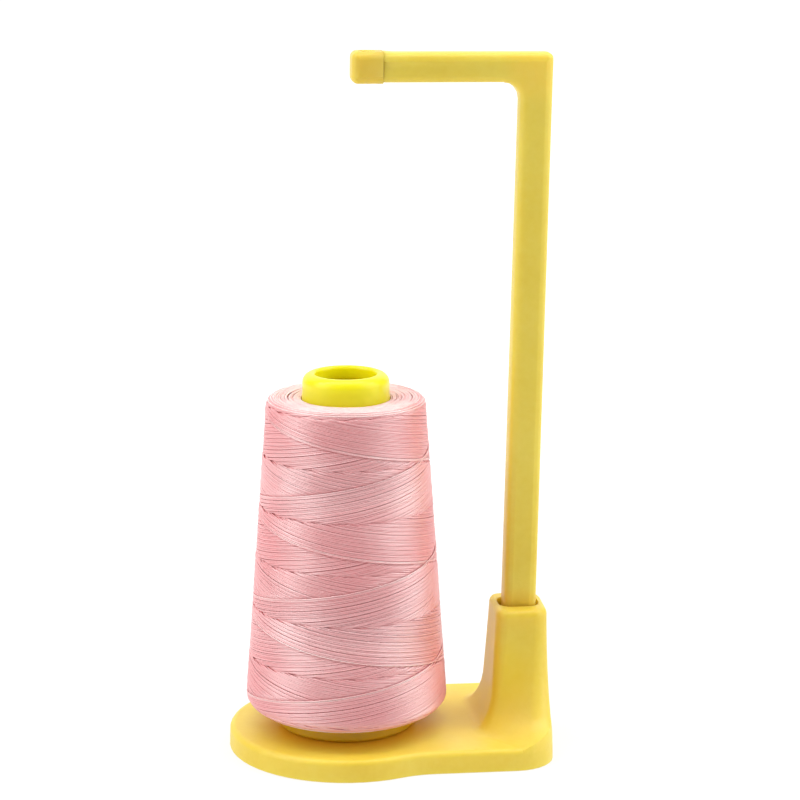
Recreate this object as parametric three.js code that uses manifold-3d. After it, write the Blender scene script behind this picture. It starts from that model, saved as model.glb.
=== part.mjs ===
// A thread spool stand: a moulded base with a socket tower, an L-shaped rod that reaches over the spool,
// and a cone of sewing thread on a finned holder that turns on an upright pin.
// Millimetres, +Z up. The origin is on the table, under the middle of the base's length and width.
// The long side of the base and the rod's arm lie along X, with the tower at the +X end.

import * as THREE from "three";
import { mergeVertices } from "three/addons/utils/BufferGeometryUtils.js";
import Module from "manifold-3d";

const wasm = await Module();
wasm.setup();

// Clearances
const seatGap = 0.3; // between pieces that rest on or in each other
const pinClearance = 0.35; // the holder's bore round the pin
const coneClearance = 0.6; // the holder's fins inside the cone

// Base: a disc that runs into a tail
const plateThickness = 6.6;
const discRadius = 36.1;
const tailHalfWidth = 31.5;
const tailReach = 61.2; // from the spool's axis to the tail's end
const tailCornerRadius = 12.4;
const neckFillet = 28; // hollow curve between the disc and the tail
const plateEdgeRound = 1.8;
const plateDraft = THREE.MathUtils.degToRad(1.5);
const skirtWall = 2.2;
const plateWall = 2.7;
const ribWidth = 1.4;
const ribBarCount = 3; // bars through the hub, so twice as many ribs

// Socket tower
const towerReach = 52.9; // from the spool's axis to the socket's axis
const towerHeight = 43.2;
const towerNearSide = 8.2; // from the socket's axis to the side that faces the spool, at the top
const towerHalfDepth = 10.5; // at the top
const towerNearDraft = THREE.MathUtils.degToRad(3.1);
const towerDepthDraft = THREE.MathUtils.degToRad(3.2);
const towerCornerRadius = 4.2; // of the two corners that face the spool, at the top
const towerFarCornerRadius = 4.6;
const towerLipRound = 1.8;
const nearFlareHeight = 11; // the foot's flare on the side that faces the spool
const nearFlareOut = 5.5; // towards the spool
const nearFlareAside = 3.8; // at that side's corners
const farFlareHeight = 38; // the far corners spread slowly at first
const farFlarePower = 2.6;
const farFlareAside = 18;
const toeHeight = 6; // and then fast, out past the tail's edges, which trim them
const toeAside = 12;
const trimRound = 8; // the trimmed side leans in over the plate's edge by this radius
const trimLean = THREE.MathUtils.degToRad(60);
const socketClearX = 0.9; // room for the rod to lean
const socketClearY = 0.45;
const socketCornerRound = 3.4;
const socketFloor = 5; // height of the socket's floor
const socketFloorWall = 2.2;
const sleeveWall = 1.9;
const towerWall = 2.4;
const towerPocketTop = 36;

// L-shaped rod
const rodWidth = 10.2; // across the upright, in the plane of the L, at its foot
const rodTopWidth = 9.6;
const rodDepth = 9.2;
const rodCornerRound = 2.4; // along its edges
const rodLean = THREE.MathUtils.degToRad(1.1); // leans away from the spool in the loose socket
const rodPivotHeight = 31; // the height at which it is centred in the socket
const rodTop = 211.6; // the height of the corner over the table
const armHeight = 8.7;
const armReach = 45.3; // from the upright's axis to the arm's open end
const armDroop = THREE.MathUtils.degToRad(0.7); // the corner is a little less than square
const rodOuterCorner = 1.8;
const rodInnerFillet = 5.1;
const armFlare = 0.3; // the arm's end is a little taller, over the cap
const armFlareLength = 3;
const rodBoreWall = 1.9;
const uprightBoreStop = 14; // solid plastic left below the arm
const armBoreStop = 4; // solid plastic left beside the upright

// Thread guide: a cap on the arm's end
const guideLength = 9.1;
const guideHeight = 9.4;
const guideDepth = 9.9;
const guideCornerRadius = 1.9;
const guideEdgeRound = 2.2;
const guideEyeRadius = 1.75;
const guideEyeMouth = 0.9; // how far the eye's mouth is opened out
const guidePlugLength = 9;

// Cone core
const coneHeight = 109.6;
const coneFootRadius = 21.3;
const coneNeckRadius = 13.1; // where the taper meets the rolled rim
const coneRimHeight = 5.4;
const coneWall = 1.6;
const coneBoreRadius = 9.25; // of the opening in the rim
const coneRimRound = 2.9; // the rim's outer edge; its inner edge takes what is left of its width
const coneLipDepth = 4.5;
const coneFootBevel = 0.8;

// Thread
const packageLift = 5.2; // from the cone's foot to the thread
const packageHeight = 97.2;
const packageFootRadius = 31.2; // over the outer turns
const packageTopRadius = 24.1;
const packageShoulder = 2.6;
const threadRadius = 0.3;
const turnsPerPass = 23 / 6; // whole turns and a part, so that the next pass lies a third of a turn on
const passCount = 6;
const openTurns = 0.25; // the last pass stops short of its reversal
const passInset = 3.4; // from the package's ends to where the thread turns back
const easeTurns = 0.25; // the turn back is rounded over this much of a turn on each side
const climbTurns = 0.15; // and the thread changes layer over this much on each side
const layerRoom = 0.75; // between the surfaces of the two layers, for crossings with straight steps
const backingRoom = 0.65; // between the package and the inner layer's surface
const turnsProud = 0.9; // how far the outer layer stands over the package's own outline
const turnSteps = 24;
const threadSides = 6;

// Pin and holder
const pinRadius = 3.2;
const pinFloor = 1.6; // plastic left under the pin
const pinHeadroom = 2; // between the pin's tip and the holder's closed top
const pinTipRound = 1.6;
const bossRadius = 6.2;
const bossRise = 8; // over the plate
const hubRadius = 8.5; // under the plate
const holderTop = 72;
const holderTubeWall = 1.7;
const holderCrown = 2; // thickness of the closed top
const finCount = 4;
const finWidth = 1.8;
const holderRingHeight = 1.8;
const holderRingWidth = 2.4;

// Places that follow from the sizes
const spoolX = (discRadius - tailReach) / 2;
const towerX = spoolX + towerReach;
const coneFoot = plateThickness + seatGap;
const coneTop = coneFoot + coneHeight;
const coneTaper = (coneFootRadius - coneNeckRadius) / (coneHeight - coneRimHeight);
const socketHalfX = rodWidth / 2 + socketClearX;
const socketHalfY = rodDepth / 2 + socketClearY;
const pinTop = holderTop - holderCrown - pinHeadroom;
const capRoundSteps = 3;

const standPlastic = { color: 0xe3c553, roughness: 0.45, metalness: 0 };
const corePlastic = { color: 0xefdc1c, roughness: 0.3, metalness: 0 };
const thread = { color: 0xe0a0a2, roughness: 0.75, metalness: 0 };

// Tools for making and joining solids

function toSolid(geometry) {
  const bare = geometry.clone();
  bare.deleteAttribute("normal");
  bare.deleteAttribute("uv");
  const merged = mergeVertices(bare, 1e-4);
  return new wasm.Manifold(
    new wasm.Mesh({
      numProp: 3,
      vertProperties: new Float32Array(merged.attributes.position.array),
      triVerts: new Uint32Array(merged.index.array),
    }),
  );
}

function toGeometry(solid) {
  const mesh = solid.getMesh();
  const geometry = new THREE.BufferGeometry();
  geometry.setAttribute("position", new THREE.BufferAttribute(mesh.vertProperties, 3));
  geometry.setIndex(new THREE.BufferAttribute(mesh.triVerts, 1));
  const faceted = geometry.toNonIndexed();
  faceted.computeVertexNormals();
  return faceted;
}

function addNode(parent, name, geometry, finish) {
  const mesh = new THREE.Mesh(geometry, new THREE.MeshStandardMaterial(finish));
  mesh.name = name;
  parent.add(mesh);
  return mesh;
}

// Points along an arc, both ends included.
function arc(x, y, radius, from, to, steps) {
  return Array.from({ length: steps + 1 }, (_, i) => {
    const angle = from + ((to - from) * i) / steps;
    return new THREE.Vector2(x + radius * Math.cos(angle), y + radius * Math.sin(angle));
  });
}

// An outline given by its corners, counter-clockwise, drawn in evenly by inset. An outer corner loses that
// much of its radius and an inner one gains it, and each keeps the same count of points at every inset.
function roundedOutline(corners, inset = 0, steps = 4) {
  const leastRadius = 0.15;
  return corners.flatMap((corner, i) => {
    const before = corners.at(i - 1);
    const after = corners[(i + 1) % corners.length];
    const arriving = new THREE.Vector2(corner.x - before.x, corner.y - before.y).normalize();
    const leaving = new THREE.Vector2(after.x - corner.x, after.y - corner.y).normalize();
    const turn = Math.atan2(arriving.cross(leaving), arriving.dot(leaving));
    const inward = new THREE.Vector2(-arriving.y, arriving.x);
    const tip = new THREE.Vector2(corner.x, corner.y)
      .addScaledVector(inward, inset)
      .addScaledVector(arriving, -inset * Math.tan(turn / 2));
    if (!corner.radius) return [tip];
    const radius = turn > 0 ? Math.max(corner.radius - inset, leastRadius) : corner.radius + inset;
    const start = tip.addScaledVector(arriving, -radius * Math.tan(Math.abs(turn) / 2));
    const centre = start.clone().addScaledVector(inward, radius * Math.sign(turn));
    return Array.from({ length: steps + 1 }, (_, k) =>
      start.clone().rotateAround(centre, (turn * k) / steps),
    );
  });
}

function rectangle(x0, x1, y0, y1, radius) {
  return [
    { x: x0, y: y0, radius },
    { x: x1, y: y0, radius },
    { x: x1, y: y1, radius },
    { x: x0, y: y1, radius },
  ];
}

const upright = (u, v, level) => new THREE.Vector3(u, v, level);
const sideways = (u, v, level) => new THREE.Vector3(u, -level, v);

// A closed solid through a stack of outlines with equal counts of points, each { level, outline }.
function loft(stack, place = upright) {
  const count = stack[0].outline.length;
  const positions = stack.flatMap(({ level, outline }) =>
    outline.flatMap((point) => place(point.x, point.y, level).toArray()),
  );
  const faces = [];
  for (let ring = 0; ring < stack.length - 1; ring++) {
    for (let i = 0; i < count; i++) {
      const a = ring * count + i;
      const b = ring * count + ((i + 1) % count);
      faces.push(a, b, b + count, a, b + count, a + count);
    }
  }
  const last = (stack.length - 1) * count;
  for (const [a, b, c] of THREE.ShapeUtils.triangulateShape(stack[0].outline, [])) {
    faces.push(a, c, b);
  }
  for (const [a, b, c] of THREE.ShapeUtils.triangulateShape(stack.at(-1).outline, [])) {
    faces.push(last + a, last + b, last + c);
  }
  const geometry = new THREE.BufferGeometry();
  geometry.setAttribute("position", new THREE.Float32BufferAttribute(positions, 3));
  geometry.setIndex(faces);
  return toSolid(geometry);
}

// A straight bar of one outline from one level to another.
const bar = (corners, from, to, place = upright, steps = 4) =>
  loft(
    [from, to].map((level) => ({ level, outline: roundedOutline(corners, 0, steps) })),
    place,
  );

// A bar whose long edges are rounded over, centred on level zero.
function roundedBar(corners, depth, round, place, steps) {
  const half = depth / 2;
  const edge = Array.from({ length: capRoundSteps + 1 }, (_, i) => {
    const angle = (Math.PI / 2) * (i / capRoundSteps);
    return { level: half - round * (1 - Math.sin(angle)), inset: round * (1 - Math.cos(angle)) };
  });
  const levels = [...edge.map(({ level, inset }) => ({ level: -level, inset })).reverse(), ...edge];
  return loft(
    levels.map(({ level, inset }) => ({ level, outline: roundedOutline(corners, inset, steps) })),
    place,
  );
}

function turned(profile, segments) {
  return toSolid(new THREE.LatheGeometry(profile, segments).rotateX(Math.PI / 2));
}

function cylinder(radius, from, to, segments = 32) {
  const geometry = new THREE.CylinderGeometry(radius, radius, to - from, segments);
  return toSolid(geometry.rotateX(Math.PI / 2).translate(0, 0, (from + to) / 2));
}

// Base

// The base's outline round the spool's axis: the tail's corners, the hollow necks and the disc.
function plateOutline(inset) {
  const cornerX = tailReach - tailCornerRadius;
  const cornerY = tailHalfWidth - tailCornerRadius;
  const neckY = tailHalfWidth + neckFillet;
  const neckX = Math.sqrt((discRadius + neckFillet) ** 2 - neckY ** 2);
  const meet = Math.atan2(neckY, neckX); // where the disc runs into the neck
  const corner = tailCornerRadius - inset;
  const neck = neckFillet + inset;
  const right = Math.PI / 2;
  return [
    ...arc(cornerX, -cornerY, corner, -right, 0, 8),
    ...arc(cornerX, cornerY, corner, 0, right, 8),
    ...arc(neckX, neckY, neck, -right, meet - 2 * right, 5),
    ...arc(0, 0, discRadius - inset, meet, 4 * right - meet, 36).slice(1, -1),
    ...arc(neckX, -neckY, neck, 2 * right - meet, right, 5),
  ];
}

function makePlate() {
  const wallTop = plateThickness - plateEdgeRound;
  const draftAt = (level) => level * Math.tan(plateDraft);
  const edge = Array.from({ length: 5 }, (_, i) => {
    const angle = (Math.PI / 2) * (i / 4);
    const level = wallTop + plateEdgeRound * Math.sin(angle);
    return { level, inset: draftAt(wallTop) + plateEdgeRound * (1 - Math.cos(angle)) };
  });
  const stack = [{ level: 0, inset: 0 }, ...edge];
  return loft(stack.map(({ level, inset }) => ({ level, outline: plateOutline(inset) })));
}

// The tower's four sides at a height, round the spool's axis.
function towerSides(level) {
  const below = towerHeight - level;
  const half = towerHalfDepth + below * Math.tan(towerDepthDraft);
  return {
    near: towerReach - towerNearSide - below * Math.tan(towerNearDraft),
    far: tailReach - plateThickness * Math.tan(plateDraft), // level with the tail's end
    half,
  };
}

// One section of the tower. Towards the plate its near side and all four corners spread.
function towerSection(level, inset = 0) {
  const { near, far, half } = towerSides(level);
  const leftOf = (height) => 1 - Math.min(Math.max((level - plateThickness) / height, 0), 1);
  const hollow = (left) => 1 - Math.sqrt(1 - left ** 2);
  const nearSpread = hollow(leftOf(nearFlareHeight));
  const farSpread = leftOf(farFlareHeight) ** farFlarePower;
  const nearHalf = half + nearFlareAside * nearSpread;
  const nearRadius = towerCornerRadius + nearFlareOut * nearSpread;
  const farHalf = half + farFlareAside * farSpread + toeAside * leftOf(toeHeight) ** 2;
  const nearX = near - nearFlareOut * nearSpread;
  const corners = [
    { x: nearX, y: -nearHalf, radius: nearRadius },
    { x: far, y: -farHalf, radius: towerFarCornerRadius },
    { x: far, y: farHalf, radius: towerFarCornerRadius },
    { x: nearX, y: nearHalf, radius: nearRadius },
  ];
  return { level, outline: roundedOutline(corners, inset, 5) };
}

// The room that the tail's edges leave for the tower's foot. Its sides lean in from the plate's own sides.
function makeTrim() {
  const draft = plateThickness * Math.tan(plateDraft) - 0.01;
  const at = (level, inset) => {
    const half = tailHalfWidth - draft - inset;
    const corners = rectangle(0, tailReach - draft, -half, half, tailCornerRadius - draft);
    return { level, outline: roundedOutline(corners, 0, 8) };
  };
  const lean = Array.from({ length: 7 }, (_, i) => {
    const angle = (trimLean * i) / 6;
    const level = plateThickness - plateEdgeRound + trimRound * Math.sin(angle);
    return at(level, trimRound * (1 - Math.cos(angle)));
  });
  return loft([at(-1, 0), ...lean, at(towerHeight + 1, trimRound * (1 - Math.cos(trimLean)))]);
}

function makeTower() {
  const flareRises = [0, 0.5, 1.1, 1.8, 2.6, 3.5, 4.6, toeHeight, 8, 10.5, 13, 17.5, 24, 31, farFlareHeight - 4];
  const lipFoot = towerHeight - towerLipRound;
  const lip = Array.from({ length: 4 }, (_, i) => {
    const angle = (Math.PI / 2) * (i / 3);
    return towerSection(
      lipFoot + towerLipRound * Math.sin(angle),
      towerLipRound * (1 - Math.cos(angle)),
    );
  });
  const tower = loft([
    towerSection(0),
    ...flareRises.map((rise) => towerSection(plateThickness + rise)),
    ...lip,
  ]);
  return tower.intersect(makeTrim());
}

// The space under the plate, less the ribs, the hub and the sleeve that stay in it.
function makeUnderside() {
  const ceiling = plateThickness - plateWall;
  const space = loft(
    [-1, ceiling].map((level) => ({ level, outline: plateOutline(skirtWall) })),
  );
  const ribs = Array.from({ length: ribBarCount }, (_, i) => {
    const reach = 2 * discRadius;
    const box = new THREE.BoxGeometry(reach, ribWidth, plateThickness);
    return toSolid(box.rotateZ((Math.PI * i) / ribBarCount).translate(0, 0, plateThickness / 2));
  });
  const spine = new THREE.BoxGeometry(towerReach, ribWidth, plateThickness);
  const kept = [
    toSolid(spine.translate(towerReach / 2, 0, plateThickness / 2)),
    cylinder(hubRadius, 0, plateThickness),
    bar(sleeveCorners(), 0, plateThickness),
  ];
  return [...ribs, ...kept].reduce((rest, piece) => rest.subtract(piece), space);
}

function socketCorners(grow = 0) {
  return rectangle(
    towerReach - socketHalfX - grow,
    towerReach + socketHalfX + grow,
    -socketHalfY - grow,
    socketHalfY + grow,
    socketCornerRound + grow,
  );
}

const sleeveCorners = () => socketCorners(sleeveWall);

// The pockets that thin the tower's front and back walls, open below.
function makeTowerPocket(side) {
  const sections = [-1, towerPocketTop].map((level) => {
    const { near, far, half } = towerSides(Math.max(level, 0));
    const inner = socketHalfY + sleeveWall;
    const outer = half - towerWall;
    const [y0, y1] = side > 0 ? [inner, outer] : [-outer, -inner];
    const corners = rectangle(near + towerWall, far - towerWall, y0, y1, 0.7);
    return { level, outline: roundedOutline(corners, 0, 2) };
  });
  return loft(sections);
}

function makeSocket() {
  const mouth = 0.6; // the rim's inner edge is eased by this much
  const at = (level, grow) => ({ level, outline: roundedOutline(socketCorners(grow), 0, 5) });
  return loft([
    at(socketFloor, 0),
    at(towerHeight - mouth, 0),
    at(towerHeight, mouth / 2),
    at(towerHeight + 1, mouth / 2),
  ]);
}

function makeBase() {
  const underFloor = rectangle(
    towerReach - socketHalfX + sleeveWall,
    towerReach + socketHalfX - sleeveWall,
    -socketHalfY + sleeveWall,
    socketHalfY - sleeveWall,
    0.7,
  );
  const solid = makePlate()
    .add(makeTower())
    .subtract(makeUnderside())
    .add(cylinder(bossRadius, plateThickness / 2, plateThickness + bossRise))
    .subtract(cylinder(pinRadius + seatGap, pinFloor, plateThickness + bossRise + 1, 24))
    .subtract(makeTowerPocket(1))
    .subtract(makeTowerPocket(-1))
    .subtract(makeSocket())
    .subtract(bar(underFloor, -1, socketFloor - socketFloorWall, upright, 2));
  return solid;
}

// Pin and holder

function makePin() {
  const foot = pinFloor + seatGap;
  const profile = new THREE.Path()
    .moveTo(0, foot)
    .lineTo(pinRadius, foot)
    .lineTo(pinRadius, pinTop - pinTipRound)
    .absarc(pinRadius - pinTipRound, pinTop - pinTipRound, pinTipRound, 0, Math.PI / 2)
    .lineTo(0, pinTop);
  return turned(profile.getPoints(2), 24);
}

// The outside of the holder's fins follows the inside of the cone.
function finRadius(level) {
  return coneFootRadius - coneWall - coneClearance - (level - coneFoot) * coneTaper;
}

function makeHolder() {
  const boreRadius = pinRadius + pinClearance;
  const tubeRadius = boreRadius + holderTubeWall;
  const tubeFoot = plateThickness + bossRise + seatGap;
  const foot = coneFoot;
  const fin = [
    { x: -finRadius(foot), y: foot, radius: 0 },
    { x: finRadius(foot), y: foot, radius: 0 },
    { x: finRadius(holderTop), y: holderTop, radius: 1.5 },
    { x: -finRadius(holderTop), y: holderTop, radius: 1.5 },
  ];
  const fins = Array.from({ length: finCount / 2 }, (_, i) =>
    bar(fin, -finWidth / 2, finWidth / 2, sideways, 3).rotate([0, 0, (180 * i) / (finCount / 2)]),
  );
  const ring = turned(
    [
      new THREE.Vector2(finRadius(foot) - holderRingWidth, foot),
      new THREE.Vector2(finRadius(foot), foot),
      new THREE.Vector2(finRadius(foot + holderRingHeight), foot + holderRingHeight),
      new THREE.Vector2(finRadius(foot) - holderRingWidth, foot + holderRingHeight),
      new THREE.Vector2(finRadius(foot) - holderRingWidth, foot),
    ],
    36,
  );
  const joined = fins.reduce((all, piece) => all.add(piece), cylinder(tubeRadius, tubeFoot, holderTop, 24));
  return joined
    .add(ring)
    .subtract(cylinder(boreRadius, foot - 1, holderTop - holderCrown, 24))
    .subtract(cylinder(bossRadius + coneClearance, foot - 1, tubeFoot, 24));
}

// Cone core: a tapered tube with a rolled rim that turns in round its opening
function makeConeCore() {
  const outerAt = (level) => coneFootRadius - (level - coneFoot) * coneTaper;
  const neck = coneTop - coneRimHeight;
  const edgeRound = coneNeckRadius - coneBoreRadius - coneRimRound;
  const rimCentre = new THREE.Vector2(coneBoreRadius + edgeRound, coneTop);
  const lip = coneTop - coneLipDepth;
  const inner = coneNeckRadius - coneWall;
  const profile = new THREE.Path()
    .moveTo(outerAt(coneFoot) - coneFootBevel, coneFoot)
    .lineTo(outerAt(coneFoot + coneFootBevel), coneFoot + coneFootBevel)
    .lineTo(outerAt(neck), neck)
    .lineTo(coneNeckRadius, rimCentre.y - coneRimRound)
    .absarc(rimCentre.x, rimCentre.y - coneRimRound, coneRimRound, 0, Math.PI / 2)
    .absarc(rimCentre.x, rimCentre.y - edgeRound, edgeRound, Math.PI / 2, Math.PI)
    .lineTo(coneBoreRadius, lip + 0.8)
    .lineTo(inner, lip - 0.8)
    .lineTo(outerAt(coneFoot) - coneWall, coneFoot)
    .lineTo(outerAt(coneFoot) - coneFootBevel, coneFoot);
  return turned(profile.getPoints(3), 48);
}

// Thread

const packageFoot = coneFoot + packageLift;
const packageTop = packageFoot + packageHeight;
const windingDepth = backingRoom + 4 * threadRadius + layerRoom; // from the package to the outer turns' outside

// The package's own outside, under the outer turns.
function packageRadius(level) {
  const share = (level - packageFoot) / packageHeight;
  const outline = packageFootRadius + (packageTopRadius - packageFootRadius) * share;
  return outline + turnsProud - windingDepth;
}

function makePackage() {
  const innerAt = (level) => coneFootRadius - (level - coneFoot) * coneTaper + seatGap;
  const low = packageFoot + packageShoulder;
  const high = packageTop - packageShoulder;
  const profile = new THREE.Path()
    .moveTo(innerAt(packageFoot), packageFoot)
    .lineTo(packageRadius(low) - packageShoulder, packageFoot)
    .absarc(packageRadius(low) - packageShoulder, low, packageShoulder, -Math.PI / 2, 0)
    .lineTo(packageRadius(high), high)
    .absarc(packageRadius(high) - packageShoulder, high, packageShoulder, 0, Math.PI / 2)
    .lineTo(innerAt(packageTop), packageTop)
    .lineTo(innerAt(packageFoot), packageFoot);
  return turned(profile.getPoints(3), 48);
}

// How far a pass has got, from 0 to 1, with its ends rounded.
function traverse(share) {
  const ease = easeTurns / turnsPerPass;
  const scale = 2 * ease * (1 - ease);
  if (share < ease) return share ** 2 / scale;
  if (share > 1 - ease) return 1 - (1 - share) ** 2 / scale;
  return (share - ease / 2) / (1 - ease);
}

// The share of the way from the inner layer to the outer one. Rising passes lie inside, falling ones outside.
function layerAt(turns) {
  const passes = turns / turnsPerPass;
  const nearest = Math.round(passes);
  const offset = ((passes - nearest) * turnsPerPass) / climbTurns;
  const rising = Math.floor(passes) % 2 === 0;
  if (nearest < 1 || Math.abs(offset) >= 1) return rising ? 0 : 1;
  const smooth = 0.5 + offset * (0.75 - 0.25 * offset ** 2);
  return nearest % 2 === 1 ? smooth : 1 - smooth;
}

function threadPoint(turns) {
  const passes = turns / turnsPerPass;
  const pass = Math.floor(passes);
  const along = traverse(passes - pass);
  const low = packageFoot + passInset;
  const high = packageTop - passInset;
  const level = pass % 2 === 0 ? low + (high - low) * along : high - (high - low) * along;
  const innerLayer = packageRadius(level) + backingRoom + threadRadius;
  const radius = innerLayer + layerAt(turns) * (2 * threadRadius + layerRoom);
  const angle = 2 * Math.PI * turns;
  return new THREE.Vector3(radius * Math.cos(angle), radius * Math.sin(angle), level);
}

// An end of the thread stands straight up from the package for one thickness of the thread, or more.
function endOfThread(point) {
  const outward = new THREE.Vector3(point.x, point.y, 0).normalize();
  const foot = packageRadius(point.z) + seatGap;
  const bend = Math.max(foot + 2 * threadRadius, Math.hypot(point.x, point.y));
  return [foot, bend].map((radius) => outward.clone().multiplyScalar(radius).setZ(point.z));
}

function threadRoute() {
  const turns = turnsPerPass * passCount - openTurns;
  const steps = Math.round(turns * turnSteps);
  const wound = Array.from({ length: steps + 1 }, (_, i) => threadPoint((turns * i) / steps));
  return [...endOfThread(wound[0]), ...wound.slice(1, -1), ...endOfThread(wound.at(-1)).reverse()];
}

// A closed tube through the points, with flat ends.
function tubeThrough(points, radius, sides) {
  const positions = [];
  const normal = new THREE.Vector3(0, 0, 1);
  points.forEach((point, i) => {
    const before = points[Math.max(i - 1, 0)];
    const after = points[Math.min(i + 1, points.length - 1)];
    const arriving = point.clone().sub(before).normalize();
    const leaving = after.clone().sub(point).normalize();
    const tangent = arriving.add(leaving).normalize();
    normal.addScaledVector(tangent, -normal.dot(tangent)).normalize();
    const across = new THREE.Vector3().crossVectors(tangent, normal);
    for (let k = 0; k < sides; k++) {
      const angle = (2 * Math.PI * k) / sides;
      const corner = point
        .clone()
        .addScaledVector(normal, radius * Math.cos(angle))
        .addScaledVector(across, radius * Math.sin(angle));
      positions.push(...corner.toArray());
    }
  });
  const faces = [];
  for (let ring = 0; ring < points.length - 1; ring++) {
    for (let k = 0; k < sides; k++) {
      const a = ring * sides + k;
      const b = ring * sides + ((k + 1) % sides);
      faces.push(a, b, b + sides, a, b + sides, a + sides);
    }
  }
  const last = (points.length - 1) * sides;
  for (let k = 1; k < sides - 1; k++) {
    faces.push(0, k + 1, k);
    faces.push(last, last + k, last + k + 1);
  }
  const geometry = new THREE.BufferGeometry();
  geometry.setAttribute("position", new THREE.Float32BufferAttribute(positions, 3));
  geometry.setIndex(faces);
  return geometry;
}

// The least gap between stretches of the thread that aren't neighbours, measured from points to steps.
function leastSelfGap(points) {
  const near = 5 * threadRadius; // along the thread
  const travelled = points.map(() => 0);
  for (let i = 1; i < points.length; i++) {
    travelled[i] = travelled[i - 1] + points[i].distanceTo(points[i - 1]);
  }
  const onStep = new THREE.Vector3();
  let least = Infinity;
  points.forEach((point, i) => {
    for (let k = 0; k < points.length - 1; k++) {
      if (travelled[k] - travelled[i] < near && travelled[i] - travelled[k + 1] < near) continue;
      new THREE.Line3(points[k], points[k + 1]).closestPointToPoint(point, true, onStep);
      least = Math.min(least, point.distanceTo(onStep));
    }
  });
  return least - 2 * threadRadius;
}

// L-shaped rod, in its own frame: the upright's axis is Z, and the arm points to -X
function rodFrame() {
  const frame = new THREE.Group();
  frame.position.set(towerX, 0, rodPivotHeight);
  frame.rotation.y = rodLean;
  return frame;
}

const rodLocalTop = (rodTop - rodPivotHeight + (rodTopWidth / 2) * Math.sin(rodLean)) / Math.cos(rodLean);
const armFall = Math.tan(armDroop);
const armTopAt = (x) => rodLocalTop - (rodTopWidth / 2 - x) * armFall;

function rodCorners() {
  const half = rodWidth / 2;
  const topHalf = rodTopWidth / 2;
  const foot = socketFloor + seatGap - rodPivotHeight + half * Math.sin(rodLean);
  const end = -armReach;
  const flareFoot = end + armFlareLength;
  const lowAt = (x) => armTopAt(x) - armHeight;
  return [
    { x: -half, y: foot, radius: 0.6 },
    { x: half, y: foot, radius: 0.6 },
    { x: topHalf, y: armTopAt(topHalf), radius: rodOuterCorner },
    { x: flareFoot, y: armTopAt(flareFoot), radius: 0 },
    { x: end, y: armTopAt(end) + armFlare, radius: 0.4 },
    { x: end, y: lowAt(end) - armFlare, radius: 0.4 },
    { x: flareFoot, y: lowAt(flareFoot), radius: 0 },
    { x: -topHalf, y: lowAt(-topHalf), radius: rodInnerFillet },
  ];
}

// The bores that core the rod out, each open at one end.
function rodBores() {
  const foot = -rodPivotHeight;
  const stop = rodLocalTop - uprightBoreStop;
  const boreRound = rodCornerRound - rodBoreWall + 0.7;
  const upBore = rectangle(
    -rodWidth / 2 + rodBoreWall,
    rodWidth / 2 - rodBoreWall,
    -rodDepth / 2 + rodBoreWall,
    rodDepth / 2 - rodBoreWall,
    boreRound,
  );
  return [bar(upBore, foot, stop, upright, 3), armBore(0, armReach + 1 - rodTopWidth / 2 - armBoreStop, -1)];
}

// A bar inside the arm, from its end: used for the bore, and with a clearance for the guide's plug.
function armBore(clearance, length, from) {
  const halfDepth = rodDepth / 2 - rodBoreWall - clearance;
  const halfHeight = armHeight / 2 - rodBoreWall - clearance;
  const corners = rectangle(-halfDepth, halfDepth, -halfHeight, halfHeight, 1.1 - clearance);
  const alongArm = (u, v, level) => {
    const x = -armReach + level;
    return new THREE.Vector3(x, u, armTopAt(x) - armHeight / 2 + v);
  };
  return bar(corners, from, from + length, alongArm, 3);
}

function makeRod() {
  const solid = roundedBar(rodCorners(), rodDepth, rodCornerRound, sideways, 4);
  return rodBores().reduce((rest, bore) => rest.subtract(bore), solid);
}

function makeGuide() {
  const right = -armReach - seatGap;
  const left = right - guideLength;
  const middle = armTopAt((left + right) / 2) - armHeight / 2;
  const half = guideHeight / 2;
  const slope = (x) => armTopAt(x) - armTopAt((left + right) / 2);
  const corners = [
    { x: left, y: middle - half + slope(left), radius: guideCornerRadius },
    { x: right, y: middle - half + slope(right), radius: 0.3 },
    { x: right, y: middle + half + slope(right), radius: 0.3 },
    { x: left, y: middle + half + slope(left), radius: guideCornerRadius },
  ];
  const block = roundedBar(corners, guideDepth, guideEdgeRound, sideways, 4);
  const plug = armBore(seatGap, guidePlugLength + 1 + seatGap, -1 - seatGap);
  const eyeX = (left + right) / 2;
  const mouth = guideEyeRadius + guideEyeMouth;
  const eye = new THREE.Path()
    .moveTo(0, middle - half - 1)
    .lineTo(mouth + 1, middle - half - 1)
    .lineTo(mouth, middle - half)
    .lineTo(guideEyeRadius, middle - half + guideEyeMouth)
    .lineTo(guideEyeRadius, middle + half - guideEyeMouth)
    .lineTo(mouth, middle + half)
    .lineTo(mouth + 1, middle + half + 1)
    .lineTo(0, middle + half + 1);
  return block.add(plug).subtract(turned(eye.getPoints(1), 20).translate([eyeX, 0, 0]));
}

// Assembly

const stand = new THREE.Group();

// Everything that stands on the spool's axis, and the base whose outline is drawn round it.
const spoolFrame = new THREE.Group();
spoolFrame.position.set(spoolX, 0, 0);
stand.add(spoolFrame);
addNode(spoolFrame, "base", toGeometry(makeBase()), standPlastic);
addNode(spoolFrame, "spool_pin", toGeometry(makePin()), standPlastic);
addNode(spoolFrame, "cone_holder", toGeometry(makeHolder()), standPlastic);
addNode(spoolFrame, "cone_core", toGeometry(makeConeCore()), corePlastic);
addNode(spoolFrame, "thread_package", toGeometry(makePackage()), thread);
const route = threadRoute();
console.log(`outer thread turns: least gap to themselves ${leastSelfGap(route).toFixed(2)} mm`);
const turns = tubeThrough(route, threadRadius, threadSides);
turns.computeVertexNormals();
addNode(spoolFrame, "outer_thread_turns", turns, thread);

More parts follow.
